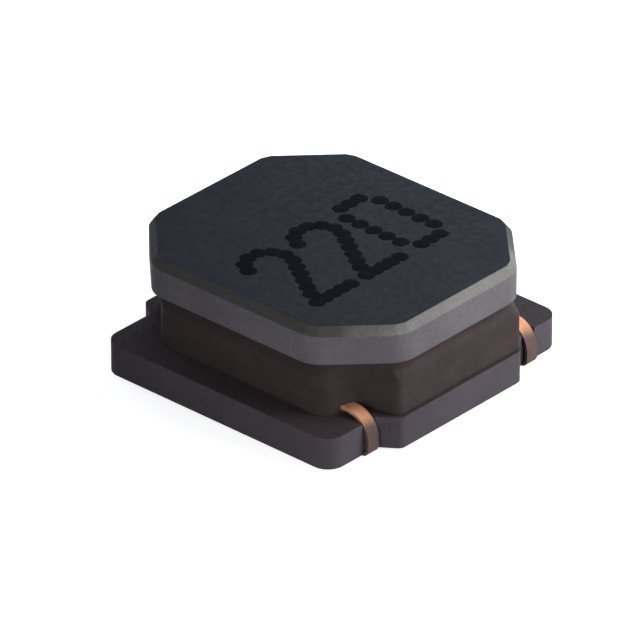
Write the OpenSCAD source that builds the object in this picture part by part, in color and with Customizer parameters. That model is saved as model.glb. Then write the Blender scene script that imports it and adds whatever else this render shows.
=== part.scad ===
// Shielded power inductor for surface mounting, 5 x 5 x 2 mm format.
// A one-piece ferrite drum core carries a round coil on its post. Magnetic resin fills
// the space between the two flanges. The two flattened wire ends leave the resin at the
// front, bend down over the lower flange and are soldered into its two terminals.
// Lengths are in millimetres. The part stands on its terminals at z = 0, with +Z up,
// the wire ends on the -Y side and the origin at the centre of its footprint.

/* [Core] */
// overall height, from the terminals to the top face
total_h = 2.0; // [1.8:0.05:2.2]
// width of the lower flange along X
base_x = 5.0; // [4.6:0.05:5.4]
// depth of the lower flange along Y, over its two middle sections
base_y = 5.0; // [4.8:0.05:5.4]
// depth of the lower flange along Y, over its corner blocks
block_y = 4.4; // [4.2:0.05:4.6]
// width of a middle section at its outer face
middle_x = 2.58; // [2.2:0.02:2.6]
// width of a middle section where it joins the corner blocks
middle_root_x = 3.0; // [2.9:0.02:3.04]
// radius of the lower flange's four corners
base_corner_r = 0.28; // [0.1:0.02:0.4]
// radius of the middle sections' outer edges
middle_corner_r = 0.14; // [0.04:0.02:0.2]
// radius in the inner angles beside the middle sections
middle_root_r = 0.05; // [0.02:0.01:0.08]
// thickness of the lower flange
base_t = 0.5; // [0.4:0.02:0.6]
// width of the upper flange along X
top_x = 4.34; // [4.2:0.02:4.6]
// depth of the upper flange along Y
top_y = 4.96; // [4.6:0.02:5.0]
// leg of the 45 degree corner cuts of the upper flange
top_cut = 0.95; // [0.8:0.05:1.1]
// radius of the upper flange's eight corners
top_corner_r = 0.5; // [0.2:0.05:0.6]
// thickness of the upper flange
top_t = 0.58; // [0.5:0.02:0.64]
// width of the bevel around the top face
bevel_w = 0.1; // [0.04:0.01:0.14]
// height of the bevel around the top face
bevel_h = 0.13; // [0.04:0.01:0.2]
// diameter of the winding post
post_d = 2.2; // [1.8:0.05:2.25]

/* [Winding] */
// diameter of the enamelled round wire
wire_d = 0.12; // [0.1:0.01:0.14]
// distance between neighbouring layers of the coil
layer_pitch = 0.12; // [0.1:0.005:0.13]
// number of layers
layers = 5; // [3:1:5]
// number of turns in a layer
turns = 6; // [4:1:6]
// half the distance between the two wire ends
lead_x = 1.72; // [1.7:0.01:1.74]
// how far both wire ends sit to the right of the centre plane
lead_shift = 0.06; // [0:0.01:0.08]
// width of a flattened wire end
lead_w = 0.22; // [0.16:0.01:0.24]
// thickness of a flattened wire end
lead_t = 0.05; // [0.04:0.01:0.06]
// inner radius of the bend over the flange's edge
lead_bend_r = 0.36; // [0.3:0.02:0.4]
// inner radius of the bend under the flange
lead_foot_r = 0.07; // [0.06:0.01:0.08]
// length of wire lying in a terminal
lead_foot = 2.6; // [1.5:0.1:3.4]

/* [Resin] */
// width of the resin along X
resin_x = 4.1; // [4.0:0.02:4.3]
// depth of the resin along Y
resin_y = 4.8; // [4.7:0.02:4.86]
// how much further the resin reaches towards the wire ends
resin_shift = 0.04; // [0:0.01:0.05]
// width of the resin's front face, between the notches for the wire ends
resin_front_x = 2.66; // [2.5:0.02:2.7]
// how far the notches and the front face follow the wire ends to the right
resin_front_shift = 0.04; // [0:0.01:0.05]
// depth of a notch behind the front face, at its inner corner
resin_notch = 0.58; // [0.5:0.02:0.62]
// how much wider the resin is at the notches' inner corners than at its front face
resin_notch_lean = 0.2; // [0:0.02:0.24]
// how much deeper a notch is at the resin's side face
resin_notch_fall = 0.18; // [0.1:0.02:0.24]
// radius of the resin's corners between front face and notch
resin_front_r = 0.12; // [0.06:0.01:0.16]
// radius of the notches' inner corners
resin_notch_r = 0.24; // [0.1:0.02:0.3]
// leg of the resin's 45 degree corners at the back
resin_cut = 0.86; // [0.7:0.01:0.95]
// radius of the resin's corners at its side faces and at the back
resin_corner_r = 0.3; // [0.1:0.02:0.4]
// depth of the hollow in each 45 degree side
resin_hollow = 0.13; // [0.04:0.01:0.16]
// radius of that hollow
resin_hollow_r = 0.7; // [0.4:0.05:1.0]
// how far the resin draws in under the upper flange
resin_draw = 0.15; // [0.06:0.01:0.2]
// height over which it draws in
resin_draw_h = 0.26; // [0.1:0.01:0.4]

/* [Terminals] */
// thickness of the terminal plating
term_t = 0.05; // [0.04:0.01:0.08]
// width of a terminal along X
term_x = 1.25; // [1.0:0.05:1.3]
// length of a terminal along Y
term_y = 3.9; // [3.2:0.1:4.0]
// distance of a terminal's inner edge from the centre plane
term_inner = 1.05; // [1.0:0.05:1.15]
// radius of the terminal's corners
term_corner_r = 0.12; // [0.05:0.01:0.2]
// solder on each side of the wire
solder_side = 0.06; // [0.04:0.01:0.1]
// solder under the wire
solder_under = 0.02; // [0.015:0.005:0.03]

/* [Clearances] */
// gap between the lower flange and the lowest turn
coil_floor = 0.03; // [0.02:0.01:0.05]
// gap between the highest turn and the upper flange
coil_ceiling = 0.08; // [0.04:0.01:0.12]
// gap between a wire end and the corner blocks' face
lead_face_gap = 0.04; // [0.03:0.01:0.06]
// gap beside a wire end in the flange's notches
notch_side_gap = 0.03; // [0.02:0.01:0.05]
// gap between a wire end and the notches' faces
notch_gap = 0.03; // [0.02:0.01:0.04]

/* [Hidden] */
$fn = 96;
eps = 0.5;
far = 20;

// heights
base_z0 = term_t;
base_z1 = base_z0 + base_t;
top_z0 = total_h - top_t;
bevel_z = total_h - bevel_h;
resin_draw_z = top_z0 - resin_draw_h;
resin_draw_cut = ((resin_x - resin_front_x) / 2 + resin_cut) / 2;

// coil: its turns share the height between the flanges and just run into each other
turn_lap = 0.004;
coil_room = top_z0 - base_z1 - coil_floor - coil_ceiling;
turn_pitch = (coil_room - 2 * turn_lap) / turns;
turn_r = turn_pitch / 2 + turn_lap;
coil_z0 = base_z1 + coil_floor + turn_r;
coil_z1 = coil_z0 + (turns - 1) * turn_pitch;
coil_r1 = lead_x;
coil_r0 = coil_r1 - (layers - 1) * layer_pitch;

// wire ends, along the middle of their thickness
lead_bend = lead_bend_r + lead_t / 2;
lead_foot_bend = lead_foot_r + lead_t / 2;
lead_y = block_y / 2 + lead_face_gap + lead_t / 2;
lead_foot_z = solder_under + lead_t / 2;
bend_y = -lead_y + lead_bend;
bend_z = coil_z0 - lead_bend;
foot_y = -lead_y + lead_foot_bend;
foot_z = lead_foot_z + lead_foot_bend;
lead_start = -0.6 * coil_r1;
lead_right = lead_x + lead_shift;
lead_left = lead_x - lead_shift;

// channel for the wire and the solder in each terminal
channel_w = lead_w + 2 * solder_side;
channel_z = solder_under + lead_t;
groove_w = channel_w + 2 * term_t;
groove_z = channel_z + term_t;

// notch in the lower flange's front edges at each wire end
notch_w = lead_w + 2 * notch_side_gap;
notch_z = channel_z + notch_gap;

ferrite = [0.24, 0.25, 0.27];
copper = [0.80, 0.50, 0.34];
resin = [0.20, 0.17, 0.17];
plating = [0.78, 0.78, 0.76];
solder = [0.86, 0.87, 0.88];

// ---- rounded outlines -------------------------------------------------------------

function unit(v) = v / norm(v);
function turn_of(a, p, b) = (p.x - a.x) * (b.y - p.y) - (p.y - a.y) * (b.x - p.x);

// one corner as [start of arc, end of arc, arc centre, radius, outward or inward]
function corner(a, p, b, r) =
    let (u = unit(a - p), v = unit(b - p))
    let (half = acos(u * v) / 2)
    let (run = r / tan(half), reach = r / sin(half))
    [p + u * run, p + v * run, p + unit(u + v) * reach, r, turn_of(a, p, b) > 0];

function corners(pts, radii) =
    let (n = len(pts))
    [for (i = [0 : n - 1]) corner(pts[(i + n - 1) % n], pts[i], pts[(i + 1) % n], radii[i])];

// counter-clockwise outline with a true arc at every corner
module rounded(pts, radii) {
    arcs = corners(pts, radii);
    difference() {
        union() {
            polygon([for (c = arcs) each [c[0], c[1]]]);
            for (c = arcs)
                if (c[4])
                    translate(c[2])
                        circle(r = c[3]);
        }
        for (c = arcs)
            if (!c[4])
                translate(c[2])
                    circle(r = c[3]);
    }
}

function reversed(list) = [for (i = [len(list) - 1 : -1 : 0]) list[i]];

// a right-hand run of points or radii, completed by its mirror image
function both_sides(pts) = concat(pts, reversed([for (p = pts) [-p.x, p.y]]));
function both_radii(radii) = concat(radii, reversed(radii));

module octagon(wx, wy, cut, r) {
    x = wx / 2;
    y = wy / 2;
    right = [[x - cut, -y], [x, -y + cut], [x, y - cut], [x - cut, y]];
    rounded(both_sides(right), [for (i = [0 : 7]) r]);
}

// bar with sloping sides: the half width is w at height z and shrinks by dw over dh
module sloping_bar(w, z, dw, dh, turned) {
    low = z / dh;
    high = 2;
    rotate([0, 0, turned])
        rotate([90, 0, 0])
            linear_extrude(far, center = true)
                polygon([
                    [w + dw * low, 0], [w - dw * high, z + dh * high],
                    [-w + dw * high, z + dh * high], [-w - dw * low, 0]
                ]);
}

// reach of the octagon from its centre in the direction turned from +X, with the arc
// of radius r around the given centre
function reach(c, r, turned) = c.x * cos(turned) + c.y * sin(turned) + r;

// everything inside the sloping planes of a bevel: one along each side of the octagon
// and one across each of its rounded corners
module octagon_slopes(wx, wy, cut, r, z, dw, dh) {
    x = wx / 2;
    y = wy / 2;
    run = r * tan(22.5);
    flat_corner = reach([x - r, y - cut - run], r, 22.5);
    steep_corner = reach([x - cut - run, y - r], r, 67.5);
    intersection() {
        sloping_bar(x, z, dw, dh, 0);
        sloping_bar(y, z, dw, dh, 90);
        sloping_bar((x + y - cut) / sqrt(2), z, dw, dh, 45);
        sloping_bar((x + y - cut) / sqrt(2), z, dw, dh, -45);
        sloping_bar(flat_corner, z, dw, dh, 22.5);
        sloping_bar(flat_corner, z, dw, dh, -22.5);
        sloping_bar(steep_corner, z, dw, dh, 67.5);
        sloping_bar(steep_corner, z, dw, dh, -67.5);
    }
}

// ---- ferrite core -----------------------------------------------------------------

module base_outline() {
    x = base_x / 2;
    yb = block_y / 2;
    ym = base_y / 2;
    xm = middle_x / 2;
    xr = middle_root_x / 2;
    right = [[xm, -ym], [xr, -yb], [x, -yb], [x, yb], [xr, yb], [xm, ym]];
    half_radii = [
        middle_corner_r, middle_root_r, base_corner_r,
        base_corner_r, middle_root_r, middle_corner_r
    ];
    rounded(both_sides(right), both_radii(half_radii));
}

// seat of one terminal's channel: a flat-bottomed groove under the corner blocks
module terminal_groove(x) {
    translate([x - groove_w / 2, -term_y / 2, -eps])
        cube([groove_w, term_y, groove_z + eps]);
}

// notches that let one wire end pass the lower flange's front edges: a slot below and a
// rounded edge under the bend above
module lead_notches(x) {
    translate([x - notch_w / 2, -far / 2, -eps])
        cube([notch_w, far / 2 - term_y / 2 + 0.1, notch_z + eps]);
    translate([x - notch_w / 2, 0, 0])
        rotate([90, 0, 90])
            linear_extrude(notch_w)
                translate([bend_y, bend_z])
                    difference() {
                        translate([-far, 0])
                            square([far, far]);
                        circle(r = lead_bend_r - notch_gap);
                    }
}

// children for the right-hand wire end and, mirrored, for the left-hand one
module both_ends() {
    children(0);
    mirror([1, 0, 0])
        children(1);
}

module lead_room(x) {
    terminal_groove(x);
    lead_notches(x);
}

module upper_flange() {
    intersection() {
        translate([0, 0, top_z0])
            linear_extrude(top_t)
                octagon(top_x, top_y, top_cut, top_corner_r);
        octagon_slopes(top_x, top_y, top_cut, top_corner_r, bevel_z, bevel_w, bevel_h);
    }
}

module drum_core() {
    color(ferrite)
        union() {
            difference() {
                translate([0, 0, base_z0])
                    linear_extrude(base_t)
                        base_outline();
                both_ends() {
                    lead_room(lead_right);
                    lead_room(lead_left);
                }
            }
            translate([0, 0, base_z1 - 0.1])
                cylinder(d = post_d, h = top_z0 - base_z1 + 0.2);
            upper_flange();
        }
}

// ---- winding ----------------------------------------------------------------------

module coil_section() {
    translate([coil_r0, coil_z0])
        square([coil_r1 - coil_r0, coil_z1 - coil_z0]);
    for (i = [0 : layers - 1], j = [0 : turns - 1])
        if (i == 0 || j == 0 || i == layers - 1 || j == turns - 1)
            translate([coil_r0 + i * layer_pitch, coil_z0 + j * turn_pitch])
                circle(r = turn_r);
}

// quarter of a ring in the plane of a wire end, seen from +X
module bend_section(y, z, r, up) {
    intersection() {
        translate([y, z])
            difference() {
                circle(r = r + lead_t / 2);
                circle(r = r - lead_t / 2);
            }
        translate([y - far, up ? z : z - far])
            square([far, far]);
    }
}

module lead_section() {
    translate([bend_y, coil_z0 - lead_t / 2])
        square([lead_start - bend_y, lead_t]);
    bend_section(bend_y, bend_z, lead_bend, true);
    translate([-lead_y - lead_t / 2, foot_z])
        square([lead_t, bend_z - foot_z]);
    bend_section(foot_y, foot_z, lead_foot_bend, false);
    translate([foot_y, lead_foot_z - lead_t / 2])
        square([lead_foot, lead_t]);
}

// one flattened wire end with the round wire that joins it to the coil
module lead(x) {
    translate([x - lead_w / 2, 0, 0])
        rotate([90, 0, 90])
            linear_extrude(lead_w)
                lead_section();
    translate([x, 0, coil_z0])
        rotate([90, 0, 0])
            cylinder(d = wire_d - 0.01, h = -lead_start + 0.08);
}

module winding() {
    color(copper)
        union() {
            rotate_extrude()
                coil_section();
            both_ends() {
                lead(lead_right);
                lead(lead_left);
            }
        }
}

// ---- resin ------------------------------------------------------------------------

// front points of one side, from the front face through the notch to the side face
function resin_front(side) =
    let (x = resin_front_x / 2, y = -resin_y / 2 + resin_notch, s = resin_front_shift)
    [
        [side * x + s, -resin_y / 2],
        [side * (x + resin_notch_lean / 2) + s, y],
        [side * resin_x / 2, y + resin_notch_fall]
    ];

// back points of one side, from the side face round the hollow corner to the back face
function resin_back(side) =
    let (x = resin_x / 2, y = resin_y / 2, in = resin_cut / 2 + resin_hollow / sqrt(2))
    [[side * x, y - resin_cut], [side * (x - in), y - in], [side * (x - resin_cut), y]];

module resin_outline() {
    right = concat(resin_front(1), resin_back(1));
    left = concat(resin_front(-1), resin_back(-1));
    side_radii = [
        resin_front_r, resin_notch_r, resin_corner_r,
        resin_corner_r, resin_hollow_r, resin_corner_r
    ];
    rounded(concat(right, reversed(left)), both_radii(side_radii));
}

module resin_fill() {
    color(resin)
        difference() {
            translate([0, -resin_shift, 0])
                intersection() {
                    translate([0, 0, base_z1])
                        linear_extrude(top_z0 - base_z1)
                            resin_outline();
                    octagon_slopes(
                        resin_x, resin_y, resin_draw_cut, resin_corner_r,
                        resin_draw_z, resin_draw, resin_draw_h
                    );
                }
            cylinder(d = post_d, h = total_h);
            winding();
        }
}

// ---- terminals --------------------------------------------------------------------

// plating of a right-hand terminal: a flat pad with a channel for the wire at x
module terminal(x) {
    x0 = term_inner;
    x1 = term_inner + term_x;
    g0 = x - groove_w / 2;
    g1 = x + groove_w / 2;
    c0 = x - channel_w / 2;
    c1 = x + channel_w / 2;
    intersection() {
        translate([0, term_y / 2, 0])
            rotate([90, 0, 0])
                linear_extrude(term_y)
                    polygon([
                        [x0, 0], [c0, 0], [c0, channel_z], [c1, channel_z], [c1, 0], [x1, 0],
                        [x1, term_t], [g1, term_t], [g1, groove_z], [g0, groove_z],
                        [g0, term_t], [x0, term_t]
                    ]);
        translate([0, 0, -eps])
            linear_extrude(2)
                rounded(
                    [
                        [x0, -term_y / 2], [x1, -term_y / 2],
                        [x1, term_y / 2], [x0, term_y / 2]
                    ],
                    [for (i = [0 : 3]) term_corner_r]
                );
    }
}

// solder that fills that channel around the wire
module solder_bar(x) {
    difference() {
        translate([x - channel_w / 2, -term_y / 2, 0])
            cube([channel_w, term_y, channel_z]);
        lead(x);
    }
}

module terminal_right() {
    color(plating)
        terminal(lead_right);
}

module terminal_left() {
    color(plating)
        mirror([1, 0, 0])
            terminal(lead_left);
}

module solder_right() {
    color(solder)
        solder_bar(lead_right);
}

module solder_left() {
    color(solder)
        mirror([1, 0, 0])
            solder_bar(lead_left);
}

drum_core();
winding();
resin_fill();
terminal_left();
terminal_right();
solder_left();
solder_right();
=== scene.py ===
import math

import bmesh
import bpy
from mathutils import Matrix, Vector


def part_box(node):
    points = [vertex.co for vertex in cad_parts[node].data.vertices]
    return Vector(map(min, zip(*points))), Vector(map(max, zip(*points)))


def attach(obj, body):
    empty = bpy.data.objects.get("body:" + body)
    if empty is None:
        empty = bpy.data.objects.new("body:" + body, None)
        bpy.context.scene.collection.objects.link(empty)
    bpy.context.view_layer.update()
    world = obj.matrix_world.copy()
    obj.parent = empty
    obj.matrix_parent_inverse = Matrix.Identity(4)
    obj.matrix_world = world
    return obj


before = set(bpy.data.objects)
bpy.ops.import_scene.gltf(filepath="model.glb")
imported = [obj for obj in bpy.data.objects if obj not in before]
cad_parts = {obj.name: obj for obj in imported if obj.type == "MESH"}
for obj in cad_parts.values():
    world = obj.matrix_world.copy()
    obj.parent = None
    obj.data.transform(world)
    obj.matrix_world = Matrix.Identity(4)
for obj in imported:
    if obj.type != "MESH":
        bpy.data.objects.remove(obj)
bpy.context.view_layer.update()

# The surface mount inductor stands on its terminals at z = 0, with +Z up and the wire ends on
# the -Y side. The solids come from the frame. This script gives them their finishes, prints
# the dots of the marking on the top face, and sets the camera, the floor and the lights.
# The frame is in metres. This script's own lengths are in mm, and MM turns them to metres.

MM = 0.001

core_low, core_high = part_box("drum_core")
resin_low, resin_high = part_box("resin_fill")
core_middle = (core_low + core_high) / 2

# Heights: the top face, the underside of the upper flange, and midway between the flanges.
TOP_Z = core_high.z / MM
FLANGE_Z = resin_high.z / MM
MIDDLE_Z = (resin_low.z + resin_high.z) / 2 / MM


def linear(r, g, b):
    """sRGB 0 to 255 as the linear colour that Blender's sockets take."""
    def one(c):
        c /= 255
        return c / 12.92 if c <= 0.04045 else ((c + 0.055) / 1.055) ** 2.4
    return (one(r), one(g), one(b), 1.0)


def grey(level):
    """A linear grey, where 1 is white."""
    return (level, level, level, 1.0)


# ---- camera ---------------------------------------------------------------------------

# The photograph's view, in degrees and mm. The camera is aimed beside the origin, this far
# right and up in the picture, and the picture is this wide at the origin.
AZIMUTH = -47.923
ELEVATION = 29.842
DISTANCE = 138.555
PICTURE_WIDTH = 9.2703
AIM_RIGHT = -0.1752
AIM_UP = 0.5676
SENSOR = 36.0
CLIP_NEAR = 5
CLIP_FAR = 2000

turn, tilt = math.radians(AZIMUTH), math.radians(ELEVATION)
back = Vector((
    math.sin(turn) * math.cos(tilt),
    -math.cos(turn) * math.cos(tilt),
    math.sin(tilt),
))
right = Vector((math.cos(turn), math.sin(turn), 0))
up = back.cross(right)
aim = right * AIM_RIGHT + up * AIM_UP

camera_data = bpy.data.cameras.new("camera")
camera_data.sensor_width = SENSOR
camera_data.lens = SENSOR * DISTANCE / PICTURE_WIDTH
camera_data.clip_start = CLIP_NEAR * MM
camera_data.clip_end = CLIP_FAR * MM
camera = bpy.data.objects.new("camera", camera_data)
bpy.context.scene.collection.objects.link(camera)
camera.matrix_world = (
    Matrix.Translation((aim + back * DISTANCE) * MM)
    @ Matrix((right, up, back)).transposed().to_4x4()
)
bpy.context.scene.camera = camera


# ---- node trees -----------------------------------------------------------------------

# Noise seldom leaves this range, so vary() stretches it from there.
NOISE_RANGE = (0.3, 0.7)
# The cosine between a face's normal and the rounded one, where an edge begins to show and
# where it shows in full.
EDGE_COSINES = (0.995, 0.88)
EDGE_SAMPLES = 6


class Tree:
    """A node tree, with short calls for the nodes that this script uses."""

    def __init__(self, owner):
        owner.use_nodes = True
        self.nodes = owner.node_tree.nodes
        self.links = owner.node_tree.links

    def add(self, kind, **settings):
        node = self.nodes.new(kind)
        for key, value in settings.items():
            setattr(node, key, value)
        return node

    def put(self, socket, value):
        """Links value to the socket if it is a node's output, and else sets it."""
        if isinstance(value, bpy.types.NodeSocket):
            self.links.new(value, socket)
        else:
            socket.default_value = value

    def math(self, operation, a, b):
        node = self.add("ShaderNodeMath", operation=operation)
        self.put(node.inputs[0], a)
        self.put(node.inputs[1], b)
        return node.outputs[0]

    def both(self, a, b):
        """1 where both masks are 1."""
        return self.math("MULTIPLY", a, b)

    def ramp(self, value, low, high, to_low=0.0, to_high=1.0):
        """value from low..high to to_low..to_high, smoothly and clamped."""
        node = self.add("ShaderNodeMapRange", interpolation_type="SMOOTHSTEP")
        self.put(node.inputs["Value"], value)
        self.put(node.inputs["From Min"], low)
        self.put(node.inputs["From Max"], high)
        self.put(node.inputs["To Min"], to_low)
        self.put(node.inputs["To Max"], to_high)
        return node.outputs["Result"]


class Finish(Tree):
    """The tree of an object's material, where a place is in mm from the origin."""

    def __init__(self, name):
        self.material = bpy.data.materials.new(name)
        super().__init__(self.material)
        self.shader = self.nodes["Principled BSDF"]
        coordinates = self.add("ShaderNodeTexCoord")
        scaled = self.add("ShaderNodeVectorMath", operation="SCALE")
        self.put(scaled.inputs["Scale"], 1 / MM)
        self.put(scaled.inputs[0], coordinates.outputs["Object"])
        self.place = scaled.outputs[0]
        self.normal = self.add("ShaderNodeNewGeometry").outputs["Normal"]

    def part(self, vector, axis):
        """The vector's value along one axis."""
        node = self.add("ShaderNodeSeparateXYZ")
        self.put(node.inputs[0], vector)
        return node.outputs[axis]

    def noise(self, scale, detail=3.0, rough=0.5, stretch=None):
        """Noise from 0 to 1, with features of about 1 / scale mm, longer where stretch < 1."""
        place = self.place
        if stretch:
            mapping = self.add("ShaderNodeMapping")
            self.put(mapping.inputs["Scale"], stretch)
            self.put(mapping.inputs["Vector"], place)
            place = mapping.outputs["Vector"]
        node = self.add("ShaderNodeTexNoise")
        self.put(node.inputs["Scale"], scale)
        self.put(node.inputs["Detail"], detail)
        self.put(node.inputs["Roughness"], rough)
        self.put(node.inputs["Vector"], place)
        return node.outputs["Fac"]

    def cells(self, scale):
        """The distance to the nearest of many points, spread about 1 / scale mm apart."""
        node = self.add("ShaderNodeTexVoronoi")
        self.put(node.inputs["Scale"], scale)
        self.put(node.inputs["Vector"], self.place)
        return node.outputs["Distance"]

    def vary(self, noise, low, high):
        """The noise stretched to low..high."""
        return self.ramp(noise, *NOISE_RANGE, low, high)

    def mix(self, factor, a, b, blend="MIX"):
        """Colour a where the factor is 0, and b where it is 1."""
        node = self.add("ShaderNodeMix", data_type="RGBA", blend_type=blend)
        self.put(node.inputs[0], factor)
        self.put(node.inputs[6], a)
        self.put(node.inputs[7], b)
        return node.outputs[2]

    def shade(self, colour, value):
        """The colour times the value."""
        return self.mix(1.0, colour, value, "MULTIPLY")

    def edges(self, radius):
        """The normal rounded over the edges, and how near an edge is, from 0 to 1."""
        bevel = self.add("ShaderNodeBevel", samples=EDGE_SAMPLES)
        self.put(bevel.inputs["Radius"], radius * MM)
        rounded = bevel.outputs[0]
        dot = self.add("ShaderNodeVectorMath", operation="DOT_PRODUCT")
        self.put(dot.inputs[0], rounded)
        self.put(dot.inputs[1], self.normal)
        return rounded, self.ramp(dot.outputs["Value"], *EDGE_COSINES)

    def bump(self, height, strength, distance, normal=None):
        """The normal, roughened by the height over a distance in mm."""
        node = self.add("ShaderNodeBump")
        self.put(node.inputs["Strength"], strength)
        self.put(node.inputs["Distance"], distance * MM)
        self.put(node.inputs["Height"], height)
        if normal is not None:
            self.put(node.inputs["Normal"], normal)
        return node.outputs["Normal"]

    def finish(self, colour, roughness, normal, metallic=0.0, specular=0.5):
        inputs = self.shader.inputs
        self.put(inputs["Base Color"], colour)
        self.put(inputs["Roughness"], roughness)
        self.put(inputs["Normal"], normal)
        self.put(inputs["Metallic"], metallic)
        self.put(inputs["Specular IOR Level"], specular)
        return self.material


# ---- finishes -------------------------------------------------------------------------

# Each finish names its colours, makes its masks and textures, and then lays one colour over
# another. Lengths are in mm, and a noise or a pattern has its scale per mm.


def ferrite():
    """Sintered ferrite: matt, finely grained, paler along the edges from wear. Its bevel, top
    face and lower part carry painted light and shade.
    """
    n = Finish("ferrite_sintered")
    # One ferrite in all: the darker lower part, the much darker top face and the ledge are
    # painted shade, and the bevel's two colours are painted shade and painted light.
    side, flange, top = linear(86, 80, 87), linear(110, 107, 112), linear(50, 53, 60)
    ledge_painted_shade, bare_edge = linear(64, 56, 57), linear(120, 118, 120)
    bevel, painted_lit_bevel = linear(83, 82, 81), linear(128, 127, 125)

    # Masks of the top face, the upper flange, its bevel, and the top of the lower flange.
    facing_up = n.part(n.normal, "Z")
    flat = n.ramp(facing_up, 0.93, 0.99)
    sloped = n.both(n.ramp(facing_up, 0.2, 0.35), n.ramp(facing_up, 0.93, 0.85))
    height = n.part(n.place, "Z")
    is_flange = n.ramp(height, FLANGE_Z - 0.02, FLANGE_Z + 0.02)
    is_top = n.both(flat, n.ramp(height, TOP_Z - 0.1, TOP_Z - 0.05))
    is_bevel = n.both(sloped, is_flange)
    is_ledge = n.both(flat, n.ramp(height, MIDDLE_Z, MIDDLE_Z - 0.2))

    # Painted light: the bevel is lighter on the side of the wire ends, more and more up to the
    # rim there.
    light_start_y, light_full_y = -1.7, -2.42
    uneven = n.vary(n.noise(2.0), -0.1, 0.1)
    bevel_painted_light = n.ramp(n.math("ADD", n.part(n.place, "Y"), uneven), light_start_y, light_full_y)

    rounded, near_edge = n.edges(0.035)
    grain = n.noise(34.0, rough=0.6)
    patches = n.noise(1.3, detail=4.0, rough=0.55)
    smear = n.noise(3.2, stretch=(1.0, 0.22, 1.0))

    # Painted shade: everything below the upper flange is darker than the flange.
    colour = n.mix(is_flange, side, flange)
    # Painted shade on the top of the lower flange, under the upper flange's overhang.
    colour = n.mix(n.math("MULTIPLY", is_ledge, 0.8), colour, ledge_painted_shade)
    # Painted shade on the bevel, and painted light on it towards the wire ends.
    colour = n.mix(is_bevel, colour, n.mix(bevel_painted_light, bevel, painted_lit_bevel))
    # Painted shade: the top face is much darker than the flange's sides.
    colour = n.mix(is_top, colour, top)
    edge_wear_and_highlight = n.both(near_edge, n.vary(n.noise(5.0), 0.0, 0.25))
    colour = n.mix(edge_wear_and_highlight, colour, bare_edge)
    colour = n.shade(colour, n.ramp(grain, 0.25, 0.75, 0.86, 1.12))
    colour = n.shade(colour, n.vary(patches, 0.93, 1.06))
    colour = n.shade(colour, n.ramp(smear, 0.35, 0.65, 0.97, 1.03))

    roughness = n.vary(n.noise(9.0, detail=4.0), 0.56, 0.72)
    normal = n.bump(n.noise(2.2, detail=2.0), 0.35, 0.02, rounded)
    normal = n.bump(grain, 0.30, 0.006, normal)
    return n.finish(colour, roughness, normal, specular=0.03)


def resin():
    """Magnetic resin: dull brown-black, filled with fine powder, with a few pinholes."""
    n = Finish("resin_filled")
    dark, pale, edge = linear(65, 57, 58), linear(71, 62, 62), linear(78, 69, 68)

    rounded, near_edge = n.edges(0.05)
    powder = n.noise(42.0, detail=2.0, rough=0.65)
    flow = n.noise(1.7, detail=4.0, stretch=(1.0, 1.0, 1.6))
    solid = n.ramp(n.cells(7.5), 0.05, 0.11)

    colour = n.mix(n.vary(flow, 0.0, 1.0), dark, pale)
    colour = n.mix(n.math("MULTIPLY", near_edge, 0.2), colour, edge)
    colour = n.shade(colour, n.ramp(powder, 0.25, 0.75, 0.88, 1.10))
    # Painted shade: the pinholes are painted darker inside.
    colour = n.shade(colour, n.ramp(solid, 0.0, 1.0, 0.7, 1.0))

    roughness = n.vary(n.noise(6.0), 0.62, 0.8)
    normal = n.bump(flow, 0.3, 0.03, rounded)
    normal = n.bump(solid, 0.4, 0.012, normal)
    normal = n.bump(powder, 0.35, 0.006, normal)
    return n.finish(colour, roughness, normal, specular=0.04)


def copper():
    """Flattened copper wire: painted bright where it leaves the coil and darker down to its
    foot, as painted light and shade.
    """
    n = Finish("copper_flattened")
    bright, dull, edge_wear_and_highlight = linear(252, 184, 140), linear(95, 77, 76), linear(244, 196, 164)
    # The wire is painted bright above the first height and is in full painted shade below the
    # second.
    bright_z, dull_z = 0.68, 0.44

    rounded, near_edge = n.edges(0.012)
    drawn = n.noise(26.0, detail=2.0, stretch=(1.0, 0.12, 0.12))
    stain = n.noise(4.0)
    level = n.math("ADD", n.part(n.place, "Z"), n.vary(stain, -0.02, 0.02))
    painted_shade_share = n.math("POWER", n.ramp(level, bright_z, dull_z), 0.55)
    # Painted highlight: the wire's edges are paler, most where the wire is painted bright.
    painted_edge_highlight = n.both(near_edge, n.ramp(painted_shade_share, 0.0, 1.0, 0.5, 0.08))

    # Painted light near the coil, and painted shade down to the foot.
    colour = n.mix(painted_shade_share, bright, dull)
    colour = n.mix(painted_edge_highlight, colour, edge_wear_and_highlight)
    colour = n.shade(colour, n.vary(drawn, 0.88, 1.08))

    roughness = n.ramp(painted_shade_share, 0.0, 1.0, 0.44, 0.64)
    roughness = n.math("ADD", roughness, n.vary(stain, -0.04, 0.04))
    metallic = n.ramp(painted_shade_share, 0.0, 1.0, 0.40, 0.12)
    normal = n.bump(n.noise(3.5, detail=2.0), 0.5, 0.02, rounded)
    normal = n.bump(drawn, 0.35, 0.004, normal)
    return n.finish(colour, roughness, normal, metallic, specular=0.1)


def plating():
    """Tin plating of the terminals: pale matt metal with a fine crystal pattern."""
    n = Finish("tin_plating")
    pale, dark, edge = linear(196, 194, 188), linear(174, 172, 168), linear(212, 210, 204)

    rounded, near_edge = n.edges(0.02)
    crystals = n.cells(16.0)
    wiped = n.noise(14.0, stretch=(0.25, 1.0, 1.0))

    colour = n.mix(n.ramp(crystals, 0.1, 0.7), pale, dark)
    colour = n.mix(n.math("MULTIPLY", near_edge, 0.5), colour, edge)
    colour = n.shade(colour, n.vary(wiped, 0.9, 1.05))

    roughness = n.vary(wiped, 0.34, 0.5)
    normal = n.bump(crystals, 0.3, 0.004, rounded)
    normal = n.bump(wiped, 0.3, 0.003, normal)
    return n.finish(colour, roughness, normal, metallic=0.9)


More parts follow.
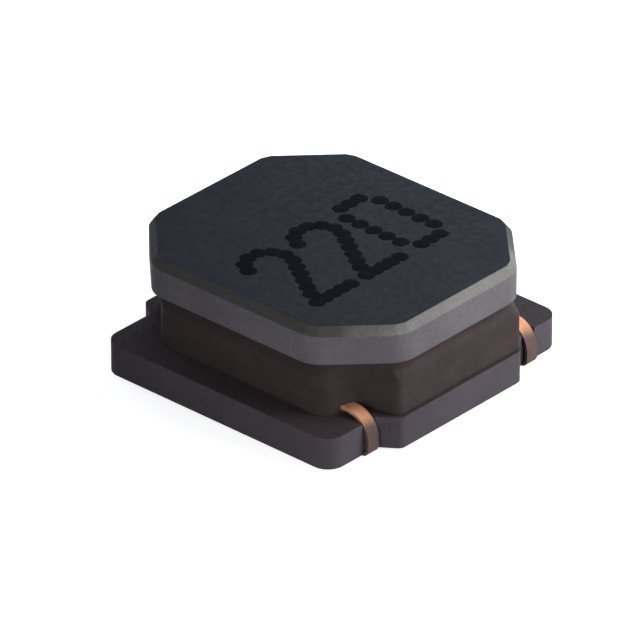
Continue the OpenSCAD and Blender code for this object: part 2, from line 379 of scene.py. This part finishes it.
def solder():
    """Solder that wetted the wire: brighter than the plating, with a gently lumpy skin."""
    n = Finish("solder_wetted")
    dark, pale, edge = linear(182, 184, 186), linear(202, 202, 204), linear(168, 166, 164)

    rounded, near_edge = n.edges(0.03)
    lumps = n.noise(5.0, detail=2.0)
    skin = n.noise(24.0)

    colour = n.mix(n.vary(lumps, 0.0, 1.0), dark, pale)
    colour = n.mix(n.math("MULTIPLY", near_edge, 0.4), colour, edge)
    colour = n.shade(colour, n.vary(skin, 0.92, 1.05))

    roughness = n.vary(skin, 0.28, 0.40)
    normal = n.bump(lumps, 0.6, 0.03, rounded)
    normal = n.bump(skin, 0.25, 0.004, normal)
    return n.finish(colour, roughness, normal, metallic=0.9)


def ink():
    """Dull blue-black marking ink on the ferrite."""
    n = Finish("marking_ink")
    dark, pale = linear(17, 17, 27), linear(22, 21, 32)

    speck = n.noise(30.0)
    patch = n.noise(4.0, detail=2.0)

    colour = n.mix(n.vary(patch, 0.0, 1.0), dark, pale)
    colour = n.shade(colour, n.vary(speck, 0.85, 1.15))

    roughness = n.vary(patch, 0.6, 0.75)
    return n.finish(colour, roughness, n.bump(speck, 0.3, 0.004), specular=0.01)


def dress(material, *nodes):
    """Puts the material in every slot of the CAD nodes' objects."""
    for node in nodes:
        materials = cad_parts[node].data.materials
        if not materials:
            materials.append(material)
        for i in range(len(materials)):
            materials[i] = material


dress(ferrite(), "drum_core")
dress(resin(), "resin_fill")
dress(copper(), "winding")
dress(plating(), "terminal_left", "terminal_right")
dress(solder(), "solder_left", "solder_right")


# ---- marking --------------------------------------------------------------------------

# A plain number in printed dots. The figures stand side by side along +X with their tops
# towards +Y, and each is drawn about its own centre. The middle one's centre is given from
# the middle of the top face.
MIDDLE_FIGURE = (-0.10, -0.27)
FIGURE_PITCH = 1.05
FIGURE_HALF_X = 0.36
FIGURE_HALF_Y = 0.80
CLOSE_DOTS = 0.2
LOOSE_DOTS = 0.26

# The arc of the two, in degrees and about a centre at BOWL_Y, and the end of its slanted
# stroke, from the foot's left end.
BOWL_Y = FIGURE_HALF_Y - FIGURE_HALF_X
BOWL_ANGLES = range(165, -35, -10)
STROKE_END = (0.12, 0.22)

# The sides of the zero reach this far from its middle, and its ends stand a little inside
# the full height.
ZERO_SIDE = 2 * LOOSE_DOTS
ZERO_INSET = 0.02

# A dot's radius and rise, and its rings as shares of the radius. The last ring lies just
# under the top face, so that no ink and ferrite share a plane.
DOT_R = 0.13
DOT_RISE = 0.003
DOT_RINGS = (0.3, 0.6, 0.8, 0.92, 1.0, 1.06)
DOT_SIDES = 32
DOT_UNEVEN = 0.02


def spaced(path, pitch):
    """Dots along a path of corners, at about the pitch, with one at each end."""
    lengths = [math.dist(a, b) for a, b in zip(path, path[1:])]
    total = sum(lengths)
    count = round(total / pitch)
    dots = []
    for k in range(count + 1):
        left = total * k / count
        step = 0
        while step < len(lengths) - 1 and left > lengths[step]:
            left -= lengths[step]
            step += 1
        share = left / lengths[step]
        (ax, ay), (bx, by) = path[step], path[step + 1]
        dots.append((ax + (bx - ax) * share, ay + (by - ay) * share))
    return dots


def two():
    """An arc and a slanted stroke in one path, and a foot."""
    path = []
    for angle in map(math.radians, BOWL_ANGLES):
        path.append((FIGURE_HALF_X * math.cos(angle), BOWL_Y + FIGURE_HALF_X * math.sin(angle)))
    path.append((-FIGURE_HALF_X + STROKE_END[0], -FIGURE_HALF_Y + STROKE_END[1]))
    foot = [(-FIGURE_HALF_X, -FIGURE_HALF_Y), (FIGURE_HALF_X, -FIGURE_HALF_Y)]
    return spaced(path, CLOSE_DOTS) + spaced(foot, CLOSE_DOTS)


def zero():
    """Two straight sides of loose dots, joined by short close rows."""
    dots = []
    for side in (-1, 1):
        x = side * FIGURE_HALF_X
        dots += spaced([(x, -ZERO_SIDE), (x, ZERO_SIDE)], LOOSE_DOTS)
        y = side * (FIGURE_HALF_Y - ZERO_INSET)
        dots += spaced([(-CLOSE_DOTS, y), (CLOSE_DOTS, y)], CLOSE_DOTS)
    return dots


def add_dot(mesh, x, y):
    """One very low dome of ink, with a slightly uneven outline that differs with its place."""
    inner = [mesh.verts.new((x * MM, y * MM, core_high.z + DOT_RISE * MM))]
    for share in DOT_RINGS:
        z = core_high.z + DOT_RISE * (1 - share ** 4) * MM
        row = []
        for k in range(DOT_SIDES):
            angle = 2 * math.pi * k / DOT_SIDES
            lobes = math.sin(3 * angle + 9 * x) + math.sin(5 * angle + 7 * y)
            r = DOT_R * share * (1 + DOT_UNEVEN * lobes)
            place = ((x + r * math.cos(angle)) * MM, (y + r * math.sin(angle)) * MM, z)
            row.append(mesh.verts.new(place))
        for k in range(DOT_SIDES):
            following = (k + 1) % DOT_SIDES
            if len(inner) == 1:
                mesh.faces.new((inner[0], row[k], row[following]))
            else:
                mesh.faces.new((inner[k], row[k], row[following], inner[following]))
        inner = row


def add_figure(name, dots, x0, y0):
    mesh = bmesh.new()
    for x, y in dots:
        add_dot(mesh, x0 + x, y0 + y)
    data = bpy.data.meshes.new(name)
    mesh.to_mesh(data)
    mesh.free()
    for face in data.polygons:
        face.use_smooth = True
    data.materials.append(marking_ink)
    figure = bpy.data.objects.new(name, data)
    bpy.context.scene.collection.objects.link(figure)
    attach(figure, "root")


marking_ink = ink()
middle_x = core_middle.x / MM + MIDDLE_FIGURE[0]
middle_y = core_middle.y / MM + MIDDLE_FIGURE[1]
add_figure("marking_first", two(), middle_x - FIGURE_PITCH, middle_y)
add_figure("marking_second", two(), middle_x, middle_y)
add_figure("marking_third", zero(), middle_x + FIGURE_PITCH, middle_y)


# ---- floor and world ------------------------------------------------------------------

# The floor lies a hair under the terminals. Seen directly it is a diffuse grey with a glow,
# which together are white but keep a faint shadow by the object, as the glow only grows to
# full over these distances from the middle. All other light meets a darker grey, so that
# little is thrown back up.
FLOOR_HALF = 400
FLOOR_DROP = 0.002
FLOOR_SEEN = 0.75
FLOOR_BOUNCE = 0.30
GLOW_FROM, GLOW_TO = 2.6, 5.0
GLOW_LOW, GLOW_FULL = 0.78, 1.0

SKY_COLOUR = (0.96, 0.98, 1.0, 1.0)
SKY_LEVEL = 0.05


class Stage(Tree):
    """The tree of the floor or the world, started empty with only its output."""

    def __init__(self, owner, output):
        super().__init__(owner)
        self.nodes.clear()
        self.surface = self.add(output).inputs["Surface"]

    def shader(self, kind, colour, strength=None):
        node = self.add(kind)
        self.put(node.inputs["Color"], colour)
        if strength is not None:
            self.put(node.inputs["Strength"], strength)
        return node.outputs[0]

    def blend(self, factor, a, b):
        """Shader a where the factor is 0, and b where it is 1."""
        node = self.add("ShaderNodeMixShader")
        self.put(node.inputs[0], factor)
        self.put(node.inputs[1], a)
        self.put(node.inputs[2], b)
        return node.outputs[0]

    def shows_white(self):
        """1 for the rays that meet the white background: camera, glossy and transmission."""
        path = self.add("ShaderNodeLightPath").outputs
        direct = self.math("MAXIMUM", path["Is Camera Ray"], path["Is Glossy Ray"])
        return self.math("MAXIMUM", direct, path["Is Transmission Ray"])


def floor_material():
    """White from above, but clear from below and to the lamp that stands under it."""
    material = bpy.data.materials.new("floor_white")
    n = Stage(material, "ShaderNodeOutputMaterial")

    distance = n.add("ShaderNodeVectorMath", operation="LENGTH")
    n.put(distance.inputs[0], n.add("ShaderNodeTexCoord").outputs["Object"])
    strength = n.ramp(
        distance.outputs["Value"], GLOW_FROM * MM, GLOW_TO * MM, GLOW_LOW, GLOW_FULL
    )
    paper = n.add("ShaderNodeAddShader")
    n.put(paper.inputs[0], n.shader("ShaderNodeBsdfDiffuse", grey(FLOOR_SEEN)))
    n.put(paper.inputs[1], n.shader("ShaderNodeEmission", grey(1.0), strength))
    bounce = n.shader("ShaderNodeBsdfDiffuse", grey(FLOOR_BOUNCE))
    above = n.blend(n.shows_white(), bounce, paper.outputs[0])

    backfacing = n.add("ShaderNodeNewGeometry").outputs["Backfacing"]
    shadow_ray = n.add("ShaderNodeLightPath").outputs["Is Shadow Ray"]
    clear = n.shader("ShaderNodeBsdfTransparent", grey(1.0))
    n.put(n.surface, n.blend(n.math("MAXIMUM", backfacing, shadow_ray), above, clear))
    return material


mesh = bmesh.new()
bmesh.ops.create_grid(mesh, x_segments=1, y_segments=1, size=FLOOR_HALF * MM)
floor_data = bpy.data.meshes.new("floor")
mesh.to_mesh(floor_data)
mesh.free()
floor_data.materials.append(floor_material())
floor = bpy.data.objects.new("floor", floor_data)
floor.location.z = -FLOOR_DROP * MM
bpy.context.scene.collection.objects.link(floor)

world = bpy.data.worlds.new("studio")
bpy.context.scene.world = world
studio = Stage(world, "ShaderNodeOutputWorld")
sky = studio.shader("ShaderNodeBackground", SKY_COLOUR, SKY_LEVEL)
white = studio.shader("ShaderNodeBackground", grey(1.0), 1.0)
studio.put(studio.surface, studio.blend(studio.shows_white(), sky, white))


# ---- lamps ----------------------------------------------------------------------------

LAMP_AIM = Vector((0, 0, TOP_Z / 2))
WHITE_LIGHT = (1.0, 1.0, 1.0)
COOL_LIGHT = (0.97, 1.0, 1.0)
BLUE_LIGHT = (0.78, 0.89, 1.0)
DEEP_BLUE_LIGHT = (0.76, 0.88, 1.0)


def softbox(name, at, size, level, colour=WHITE_LIGHT):
    """A square lamp turned to the object. It lights a facing surface at the object to the
    given level, where 1 shows a colour as it is written."""
    offset = Vector(at) - LAMP_AIM
    lamp = bpy.data.lights.new(name, "AREA")
    lamp.shape = "SQUARE"
    lamp.size = size * MM
    lamp.energy = level * math.pi ** 2 * (offset.length * MM) ** 2
    lamp.color = colour
    lamp_object = bpy.data.objects.new(name, lamp)
    lamp_object.location = Vector(at) * MM
    lamp_object.rotation_mode = "QUATERNION"
    lamp_object.rotation_quaternion = offset.to_track_quat("Z", "Y")
    lamp_object.visible_camera = False
    bpy.context.scene.collection.objects.link(lamp_object)


softbox("key", at=(5, -12, 4), size=8, level=0.45)
softbox("side", at=(7, -6, 2.5), size=4, level=0.30, colour=COOL_LIGHT)
softbox("near", at=(-7, -5, 2.5), size=4, level=0.21)
softbox("left", at=(-14, -3, 3), size=8, level=0.06)
softbox("rim", at=(9, 5.5, 4), size=6, level=0.38, colour=DEEP_BLUE_LIGHT)
softbox("back", at=(-2, 9, 6), size=6, level=0.20, colour=BLUE_LIGHT)
softbox("top", at=(3, -7.5, 9.5), size=4, level=0.33)
softbox("under", at=(1, -2, -14), size=8, level=0.35)

bpy.context.scene.view_settings.view_transform = "Standard"
